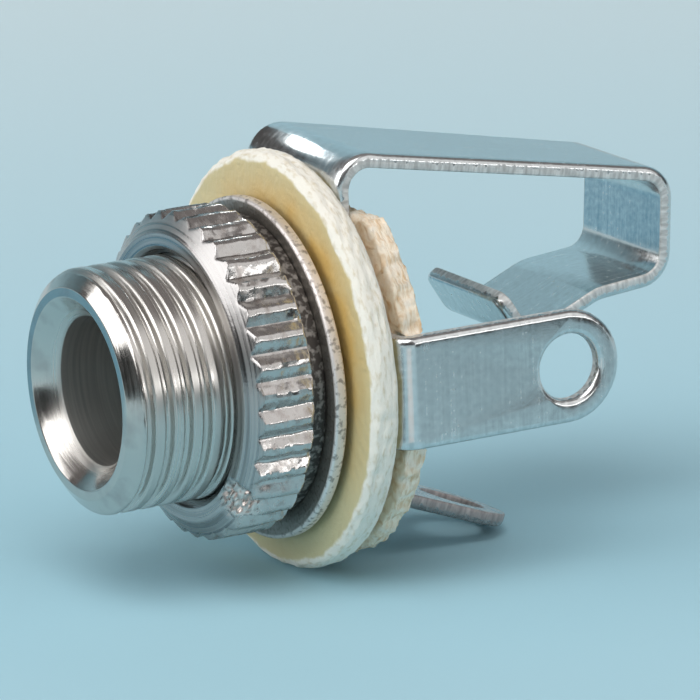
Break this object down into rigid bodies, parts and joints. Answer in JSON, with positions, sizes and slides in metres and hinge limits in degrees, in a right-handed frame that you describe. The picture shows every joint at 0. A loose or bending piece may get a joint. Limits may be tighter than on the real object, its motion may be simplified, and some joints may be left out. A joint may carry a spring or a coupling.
{
  "type": "panel mount audio jack",
  "caption": "Open panel jack for a small audio plug: threaded bush with knurled nut and washer, insulating discs, a folded tip spring and solder tags.",
  "frame": {"origin": "on the bush's axis, in the plane where the front insulator seats on the panel's rear face", "axes": "+Y along the plug's way in, to the rear; -Y is the front, where the plug enters; +Z towards the tip spring; +X towards the tip's solder tag"},
  "size_m": [0.0102, 0.0156, 0.0104],
  "materials": {
    "nickel_plate": "polished nickel plate on turned brass",
    "nut_plate": "bright nickel plate on a knurled nut",
    "washer_plate": "dull plated steel with a bright rim",
    "front_laminate": "cream paper laminate with a fibrous pale edge",
    "rear_laminate": "tan paper laminate with brown fibres",
    "tinned_spring": "satin tin plate with fine brushing and bright cut edges",
    "tag_plate": "satin tin plate, slightly pink"
  },
  "bodies": {
    "jack": {"bush": "nickel_plate", "front_insulator": "front_laminate", "tip_contact": "tinned_spring", "centring_ring": "rear_laminate", "rear_insulator": "rear_laminate", "sleeve_tag": "tag_plate"},
    "washer": {"flat_washer": "washer_plate"},
    "nut": {"knurled_nut": "nut_plate"}
  },
  "joints": [
    {"name": "washer_slide", "type": "slide", "parent": "jack", "child": "washer", "axis": [0, -1, 0], "range_m": [-0.00018, 0.0023]},
    {"name": "nut_turn", "type": "hinge", "parent": "washer", "child": "nut", "pos_m": [0, 0, 0], "axis": [0, -1, 0], "range_deg": [-129.6, 1656]}
  ],
  "couplings": [
    {"joint": "nut_turn", "follows": "washer_slide", "rad_per_m": 12566}
  ]
}
